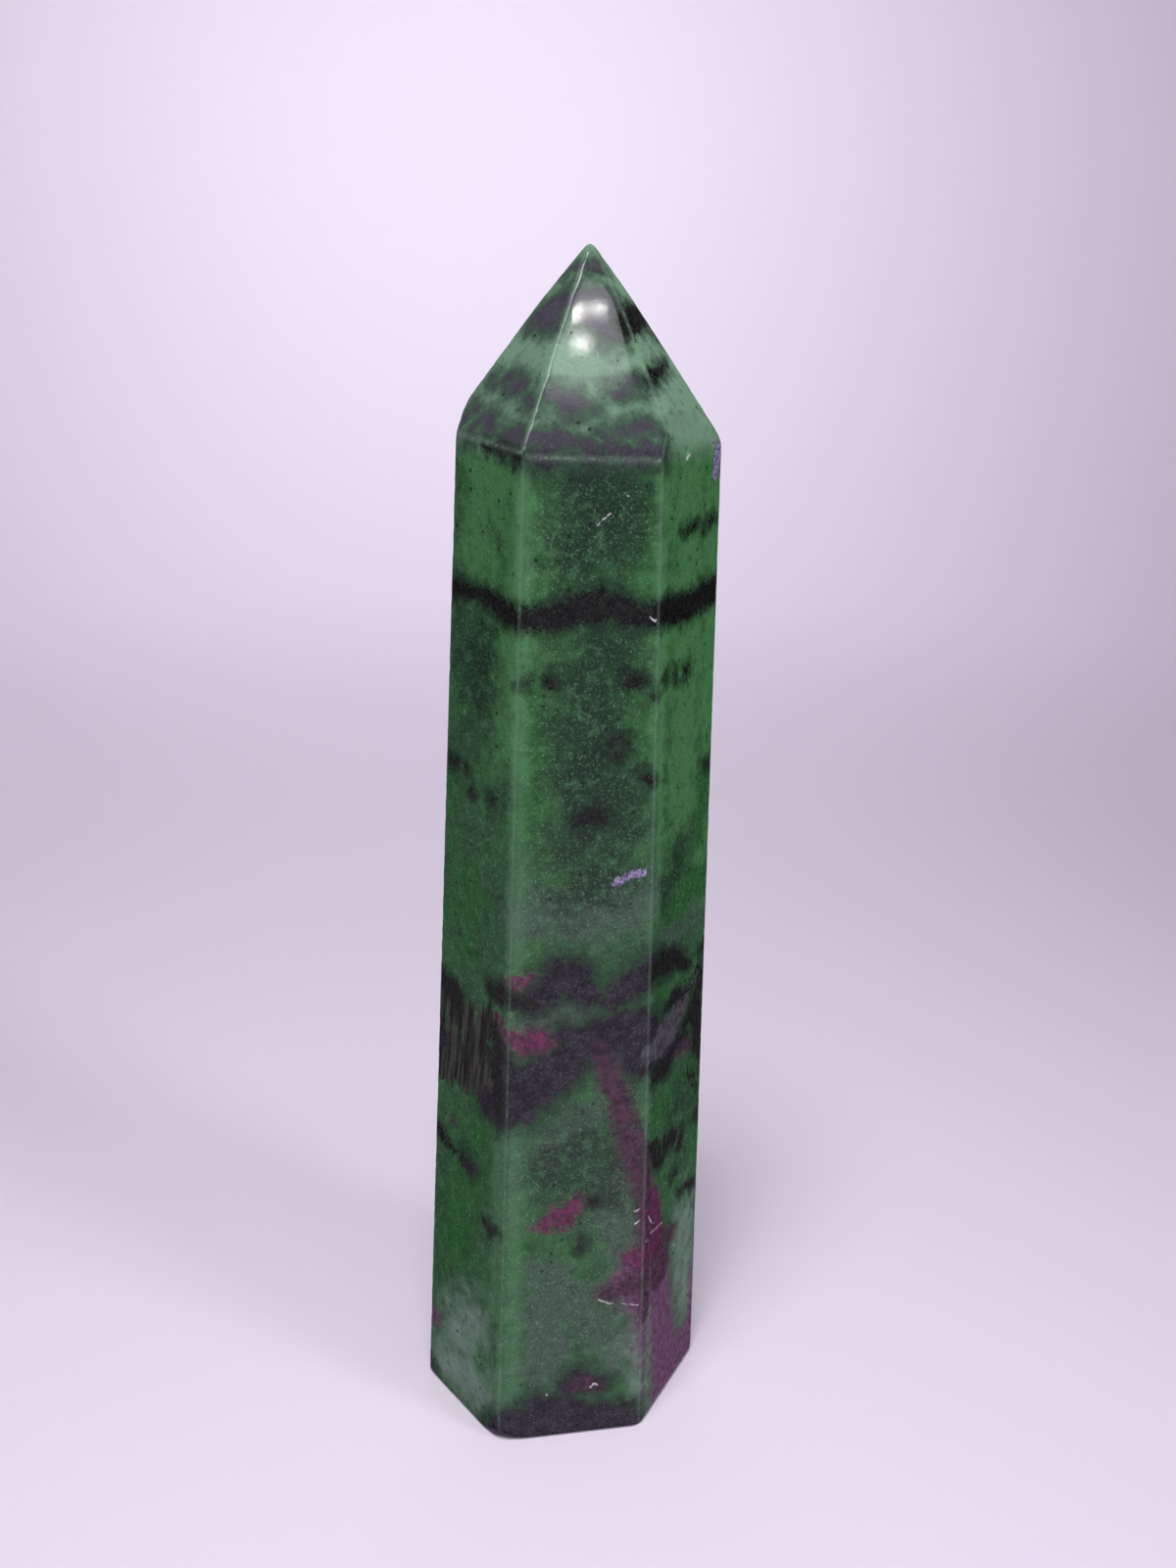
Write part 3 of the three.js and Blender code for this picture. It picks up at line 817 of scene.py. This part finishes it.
BEND_SIZE = 2.6
FINE_BEND_SIZE = 1.0


def write_minerals(mesh, points):
    """Each mineral's distance at every point, with outlines bent by noise, and the distance to an edge."""
    bend = noise_at(points, BEND_SIZE, 4, vector=True)
    bend = bend + 0.5 * noise_at(points, FINE_BEND_SIZE, 5, vector=True)
    for name, (strokes, amount) in MINERALS.items():
        write_attribute(mesh, name, stroke_distance(points + bend * amount, strokes))
    write_attribute(mesh, "edge_gap", edge_gap(points))


def refine_chips(shape):
    """Splits the faces at each chip, so that its hollow has a crisp rim."""
    for centre, radius in CHIP_BALLS:
        middle = Vector(centre)
        near = [vert for vert in shape.verts if (vert.co - middle).length < radius * CHIP_MARGIN]
        edges = {edge for vert in near for face in vert.link_faces for edge in face.edges}
        bmesh.ops.subdivide_edges(shape, edges=list(edges), cuts=CHIP_CUTS, use_grid_fill=True)


def make_stone():
    points, faces = stone_grid()
    mesh = bpy.data.meshes.new("polished_stone")
    mesh.from_pydata(points.tolist(), [], faces)
    shape = bmesh.new()
    shape.from_mesh(mesh)
    refine_chips(shape)
    bmesh.ops.triangulate(shape, faces=[face for face in shape.faces if len(face.verts) > 4])
    shape.to_mesh(mesh)
    shape.free()
    points = np.array([vert.co for vert in mesh.vertices])
    points, outwards = ground(points)
    points = chipped(worn(points, outwards))
    mesh.vertices.foreach_set("co", (points * MM).ravel())
    mesh.update()
    mesh.shade_smooth()
    write_minerals(mesh, points)
    stone = bpy.data.objects.new("polished_stone", mesh)
    bpy.context.scene.collection.objects.link(stone)
    return stone


# The stone's material. Colours are sRGB hex digits and sizes are millimetres.

GRAIN_SIZE = 0.36
UPRIGHT = (4, 6, 0)  # degrees by which the upright fibres are turned
SLANTED = (0, 38, -37)
# Heights over which painted light fades in on the tip: paler colours standing in for light shining through
# the thin tip.
TIP_PAINTED_LIGHT_HEIGHTS = (SHOULDER_LOW - 2, SHOULDER_LOW + 3)

GREEN_BASE = ("284a2d", "2f6134")
# A zone's attribute, the distances from its strokes where it starts and is full, its strength and colour.
GREEN_ZONES = [
    # bright: the stone's own tone, and painted light along some upright edges.
    ("bright", 2.5, -2.0, 0.9, "1c5a22"),
    ("light", 2.5, -2.5, 0.75, "4a854d"),
    ("grey", 2.5, -1.5, 0.9, "435549"),
    ("pale", 5, -5, 0.9, "83978b"),
    ("deep", 3.5, -2.5, 0.88, "152b1b"),
]
# Paler green for the tip faces: painted light, as if light shone through the thin tip.
PAINTED_LIGHT_GREEN_AT_TIP = "7c9c85"

# The red minerals' dark and light mottling and their greyed fibres.
REDS = {
    "mauve": ("513550", "79536f", "7f7480"),
    "wine": ("2a1525", "55314a", "54444f"),
    "ruby": ("3c1434", "752c57", "6b4a60"),
}

REFRACTION = 1.5
GLOSS_LEVEL = 0.28  # specular level of a face seen straight on
GRAZING_LEVEL = 0.005  # and of a face seen at a low angle
BUMP_DEPTH = 0.03
BUMP_STRENGTH = (0.3, 0.06)  # on the sides and on the tip


class Nodes:
    """Short calls that add nodes to one material, and the noises that several minerals share.

    A number, a colour or another node's output fits each input.
    """

    def __init__(self, tree):
        self.tree = tree
        place = self.add("ShaderNodeTexCoord").outputs["Object"]
        self.place = self.vector("SCALE", place, scale=1 / MM)
        self.grain = self.noise(GRAIN_SIZE, 3, 0.75)
        self.near_tip = self.span(self.height(), *TIP_PAINTED_LIGHT_HEIGHTS)
        self.wide = self.swing(self.noise(1.8, 5, 0.7), 2.5)
        self.narrow = self.swing(self.noise(1.1, 6, 0.75), 1.8)
        self.fuzz = self.swing(self.grain, 1.5)
        self.ragged = self.math("ADD", self.narrow, self.fuzz)
        self.upright = self.noise(1.1, 3, 0.6, place=self.stretched(UPRIGHT, (1, 1, 10)))
        self.slanted = self.noise(0.8, 3, 0.6, place=self.stretched(SLANTED, (1, 1, 6)))

    def add(self, kind, **settings):
        node = self.tree.nodes.new(kind)
        for name, value in settings.items():
            setattr(node, name, value)
        return node

    def feed(self, socket, value):
        if isinstance(value, bpy.types.NodeSocket):
            self.tree.links.new(value, socket)
        elif isinstance(value, str):
            socket.default_value = (*linear(value), 1)
        else:
            socket.default_value = value

    def math(self, operation, *values, clamp=False):
        node = self.add("ShaderNodeMath", operation=operation, use_clamp=clamp)
        for socket, value in zip(node.inputs, values):
            self.feed(socket, value)
        return node.outputs[0]

    def vector(self, operation, value, other=None, scale=None, output="Vector"):
        node = self.add("ShaderNodeVectorMath", operation=operation)
        self.feed(node.inputs[0], value)
        if other is not None:
            self.feed(node.inputs[1], other)
        if scale is not None:
            self.feed(node.inputs["Scale"], scale)
        return node.outputs[output]

    def height(self):
        node = self.add("ShaderNodeSeparateXYZ")
        self.feed(node.inputs[0], self.place)
        return node.outputs["Z"]

    def swing(self, value, reach):
        """value taken from 0..1 to -reach..reach."""
        return self.math("MULTIPLY_ADD", value, 2 * reach, -reach)

    def noise(self, size, detail=3, roughness=0.5, place=None, colour=False):
        node = self.add("ShaderNodeTexNoise")
        self.feed(node.inputs["Vector"], place or self.place)
        self.feed(node.inputs["Scale"], 1 / size)
        self.feed(node.inputs["Detail"], detail)
        self.feed(node.inputs["Roughness"], roughness)
        return node.outputs["Color" if colour else "Fac"]

    def stretched(self, turn, stretch):
        node = self.add("ShaderNodeMapping", vector_type="TEXTURE")
        self.feed(node.inputs["Vector"], self.place)
        self.feed(node.inputs["Rotation"], tuple(math.radians(angle) for angle in turn))
        self.feed(node.inputs["Scale"], stretch)
        return node.outputs["Vector"]

    def cells(self, size, output="Distance"):
        node = self.add("ShaderNodeTexVoronoi", feature="F1")
        self.feed(node.inputs["Vector"], self.place)
        self.feed(node.inputs["Scale"], 1 / size)
        return node.outputs[output]

    def span(self, value, low, high, start=0.0, end=1.0):
        """value taken from low..high to start..end, held at both ends."""
        node = self.add("ShaderNodeMapRange", interpolation_type="SMOOTHSTEP")
        for socket, given in zip(node.inputs, (value, low, high, start, end)):
            self.feed(socket, given)
        return node.outputs["Result"]

    def mix(self, share, first, second):
        node = self.add("ShaderNodeMix", data_type="RGBA", blend_type="MIX")
        self.feed(node.inputs["Factor"], share)
        self.feed(node.inputs["A"], first)
        self.feed(node.inputs["B"], second)
        return node.outputs["Result"]

    def attribute(self, name):
        return self.add("ShaderNodeAttribute", attribute_name=name).outputs["Fac"]


def grain_of(make, colour, light, dark, strength):
    """The fine crystal grain laid over a colour: lighter grains of one colour, darker of another."""
    colour = make.mix(make.span(make.grain, 0.5, 0.72, 0, strength), colour, light)
    return make.mix(make.span(make.grain, 0.5, 0.28, 0, strength), colour, dark)


def curls(make, size, width):
    """Short curled lines: 1 on the line where the noise crosses its middle, broken up here and there."""
    off = make.math("ABSOLUTE", make.math("SUBTRACT", make.noise(size, 2, 0.5), 0.5))
    broken = make.span(make.noise(size * 0.45, 1), 0.5, 0.6)
    return make.math("MULTIPLY", make.span(off, width, width * 0.4), broken)


def specks(make, size, share, radius):
    """Scattered round specks: 1 inside. share is how many of the cells have one."""
    far = make.cells(size)
    pick = make.cells(size, output="Color")
    red = make.add("ShaderNodeSeparateColor")
    make.feed(red.inputs["Color"], pick)
    chosen = make.math("LESS_THAN", red.outputs["Red"], share)
    return make.math("MULTIPLY", chosen, make.span(far, radius * 1.25, radius * 0.7))


def green_zoisite(make):
    """Granular green, deeper and brighter in large soft zones, with pale flecks and dark grains."""
    uneven = make.swing(make.noise(3.2, 5, 0.65), 5)
    colour = make.mix(make.span(make.noise(7, 3, 0.6), 0.3, 0.7), *GREEN_BASE)
    for name, starts, full, strength, shade in GREEN_ZONES:
        reach = make.math("ADD", make.attribute(name), uneven)
        colour = make.mix(make.span(reach, starts, full, 0, strength), colour, shade)
    # Painted light: the green turns paler towards the tip, as if lit through the thin stone.
    colour = make.mix(make.math("MULTIPLY", make.near_tip, 0.75), colour, PAINTED_LIGHT_GREEN_AT_TIP)
    mottle = make.noise(1.5, 4, 0.65)
    colour = make.mix(make.span(mottle, 0.5, 0.72, 0, 0.35), colour, "57895b")
    colour = make.mix(make.span(mottle, 0.5, 0.28, 0, 0.5), colour, "15281b")
    colour = grain_of(make, colour, "508056", "0f1e13", 0.33)
    colour = make.mix(make.math("MULTIPLY", curls(make, 0.65, 0.03), 0.42), colour, "7ba386")
    colour = make.mix(make.math("MULTIPLY", specks(make, 0.7, 0.12, 0.12), 0.5), colour, "a9c4b0")
    return make.mix(make.math("MULTIPLY", specks(make, 1.3, 0.15, 0.2), 0.8), colour, "0c140f")


def charcoal(make):
    """Purple-black with darker grains and clusters of small violet curls and specks."""
    cloud = make.noise(1.6, 4, 0.65)
    colour = make.mix(make.span(cloud, 0.35, 0.7), "120e16", "2e2833")
    colour = grain_of(make, colour, "4b4a52", "060507", 0.6)
    clusters = make.span(make.noise(3.2, 2), 0.46, 0.56)
    flecks = make.math("MAXIMUM", curls(make, 0.7, 0.05), specks(make, 0.5, 0.35, 0.17))
    flecks = make.math("MULTIPLY", clusters, flecks)
    colour = make.mix(make.math("MULTIPLY", flecks, 0.3), colour, "75698c")
    # Painted light: the charcoal turns paler on the tip faces, as if lit through the thin stone.
    return make.mix(make.math("MULTIPLY", make.near_tip, 0.35), colour, "64626f")


def hornblende(make):
    """Black with dark green-brown flecks."""
    colour = make.mix(make.span(make.noise(0.9, 4, 0.7), 0.4, 0.7), "070708", "1e201d")
    return grain_of(make, colour, "3a4038", "020202", 0.6)


def slate(make):
    """Slanted grey fibres."""
    colour = make.mix(make.span(make.slanted, 0.35, 0.6), "343237", "504e54")
    return grain_of(make, colour, "605e64", "232126", 0.35)


def blades(make):
    """Upright blades of black, olive grey and a little green."""
    fibres = make.noise(0.9, 3, 0.65, place=make.stretched(UPRIGHT, (1, 1, 14)))
    colour = make.mix(make.span(fibres, 0.4, 0.46), "040404", "23241f")
    colour = make.mix(make.span(fibres, 0.48, 0.55, 0, 0.9), colour, "42433b")
    colour = make.mix(make.span(fibres, 0.6, 0.66, 0, 0.8), colour, "20382a")
    return grain_of(make, colour, "55564c", "040404", 0.3)


def lilac(make):
    return make.mix(make.span(make.noise(0.4, 3, 0.7), 0.35, 0.65), "4b3d62", "a79bc0")


def red_mineral(make, name):
    """One of the red minerals, mottled from dark to light with greyed fibres."""
    dark, light, grey = REDS[name]
    colour = make.mix(make.span(make.noise(0.9, 4, 0.68), 0.32, 0.7), dark, light)
    fibres = make.noise(0.3, 2, 0.6, place=make.stretched((35, -15, 20), (1, 1, 5)))
    return make.mix(make.span(fibres, 0.6, 0.8, 0, 0.4), colour, grey)


def segment_gap(make, place, low, high):
    """How far each place is from the straight line between two points."""
    along = high - low
    offset = make.vector("SUBTRACT", place, tuple(low))
    reached = make.vector("DOT_PRODUCT", offset, tuple(along / (along @ along)), output="Value")
    share = make.math("MULTIPLY", reached, 1, clamp=True)  # held between the line's ends
    foot = make.vector("SCALE", tuple(along), scale=share)
    return make.vector("DISTANCE", offset, foot, output="Value")


def crack_share(make):
    """1 on the thin pale cracks and 0 off them. Noise makes them wander and breaks them up."""
    jitter = make.vector("SUBTRACT", make.noise(0.5, 3, 0.6, colour=True), (0.5, 0.5, 0.5))
    place = make.vector("ADD", make.place, make.vector("SCALE", jitter, scale=0.5))
    nearest = FAR_AWAY
    for name, half_width, *marks in CRACKS:
        for start, end in zip(marks, marks[1:]):
            gap = segment_gap(make, place, on_face(name, *start), on_face(name, *end))
            nearest = make.math("MINIMUM", nearest, make.math("SUBTRACT", gap, half_width))
    broken = make.span(make.noise(0.8, 2), 0.35, 0.5)
    return make.math("MULTIPLY", make.span(nearest, 0.06, -0.03), broken)


def share_of(make, name, ragged, soft):
    """How much of a mineral shows: 1 inside its strokes, with an outline moved by the ragged noise."""
    skin = make.math("ADD", make.attribute(name), ragged)
    return make.span(skin, soft, -soft)


def mottled(make, share):
    """A share let through unevenly, so that the green below shows between the grains."""
    return make.math("MULTIPLY", share, make.span(make.noise(0.8, 5, 0.75), 0.3, 0.56, 0.6, 1.0))


def shade_green(make, edge):
    """The green, with painted light near the edges where light would shine through, darker round the dark
    minerals and streaked with black.
    """
    green = green_zoisite(make)
    # Painted light: paler green near the glow strokes and along every edge.
    glow = make.span(make.math("ADD", make.attribute("glow"), make.narrow), 1.6, -0.4, 0, 0.22)
    painted_edge_light = make.math("MAXIMUM", glow, make.span(edge, 1.2, 0.0, 0, 0.15))
    green = make.mix(painted_edge_light, green, "6d9f78")
    near_dusk = make.span(make.math("ADD", make.attribute("dusk"), make.wide), 3.4, 0.0, 0, 0.75)
    green = make.mix(near_dusk, green, "1d2b24")
    near_black = make.span(make.math("ADD", make.attribute("black"), make.wide), 1.8, 0.0, 0, 0.7)
    green = make.mix(near_black, green, "131f18")
    streaky = make.math("MULTIPLY_ADD", make.slanted, 9, -3.2)
    return make.mix(share_of(make, "streaks", streaky, 0.5), green, "0b0d0b")


def lay_minerals(make, colour):
    """The other minerals over the green, each later one over the earlier ones."""
    bladed = make.swing(make.upright, 4.5)
    colour = make.mix(share_of(make, "blades", bladed, 0.5), colour, blades(make))
    frayed = make.math("ADD", make.wide, make.fuzz)
    colour = make.mix(share_of(make, "dusk", frayed, 0.6), colour, charcoal(make))
    colour = make.mix(share_of(make, "slate", make.narrow, 0.25), colour, slate(make))
    colour = make.mix(share_of(make, "mauve", make.wide, 1.6), colour, red_mineral(make, "mauve"))
    for name, soft in (("wine", 1.0), ("ruby", 0.9)):
        share = mottled(make, share_of(make, name, make.ragged, soft))
        colour = make.mix(share, colour, red_mineral(make, name))
    colour = make.mix(share_of(make, "black", make.ragged, 0.4), colour, hornblende(make))
    colour = make.mix(share_of(make, "violet", make.narrow, 0.25), colour, lilac(make))
    return make.mix(make.math("MULTIPLY", crack_share(make), 0.95), colour, "cbc5cd")


def set_gloss(make, surface, edge, rubbed_and_highlit_edges):
    """A wet-looking polish, duller where edges are worn and fading on faces seen at a low angle."""
    polish = make.span(make.noise(3, 4, 0.6), 0.3, 0.7, 0.03, 0.06)
    make.feed(surface.inputs["Roughness"], make.math("ADD", polish, make.math("MULTIPLY", rubbed_and_highlit_edges, 0.2)))
    surface.inputs["IOR"].default_value = REFRACTION
    surface.inputs["Specular IOR Level"].default_value = GLOSS_LEVEL
    facing = make.add("ShaderNodeLayerWeight").outputs["Facing"]
    level = make.span(facing, 0.2, 0.6, GLOSS_LEVEL, GRAZING_LEVEL)
    level = make.math("MULTIPLY", level, make.span(edge, 0.1, 0.5, 0.3, 1))
    make.feed(surface.inputs["Specular IOR Level"], level)


def set_bump(make, surface):
    bump = make.add("ShaderNodeBump")
    make.feed(bump.inputs["Strength"], make.span(make.near_tip, 0, 1, *BUMP_STRENGTH))
    bump.inputs["Distance"].default_value = BUMP_DEPTH * MM
    make.feed(bump.inputs["Height"], make.math("ADD", make.grain, make.noise(1.3, 2)))
    make.feed(surface.inputs["Normal"], bump.outputs["Normal"])


def build_material():
    material = bpy.data.materials.new("ruby_in_zoisite")
    material.use_nodes = True
    make = Nodes(material.node_tree)
    surface = material.node_tree.nodes["Principled BSDF"]
    edge = make.attribute("edge_gap")
    # Rubbed edges: real wear that dulls the polish, and a painted highlight, a pale grey green standing in
    # for the light lines along the edges.
    worn_and_highlit_places = make.span(make.noise(0.8, 3, 0.7), 0.48, 0.64, 0.04, 0.5)
    rubbed_and_highlit_edges = make.math("MULTIPLY", make.span(edge, 0.16, 0.03), worn_and_highlit_places)
    colour = lay_minerals(make, shade_green(make, edge))
    colour = make.mix(rubbed_and_highlit_edges, colour, "6d8874")
    # Painted highlight: every edge turned a little paler, as if catching the light.
    colour = make.mix(make.span(edge, 0.4, 0.1, 0, 0.16), colour, "7d8f84")
    make.feed(surface.inputs["Base Color"], colour)
    set_gloss(make, surface, edge, rubbed_and_highlit_edges)
    set_bump(make, surface)
    return material


make_camera()
make_backdrop()
make_lights()

stone = make_stone()
stone.data.materials.append(build_material())
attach(stone, "root")
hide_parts(STONE_NODE)
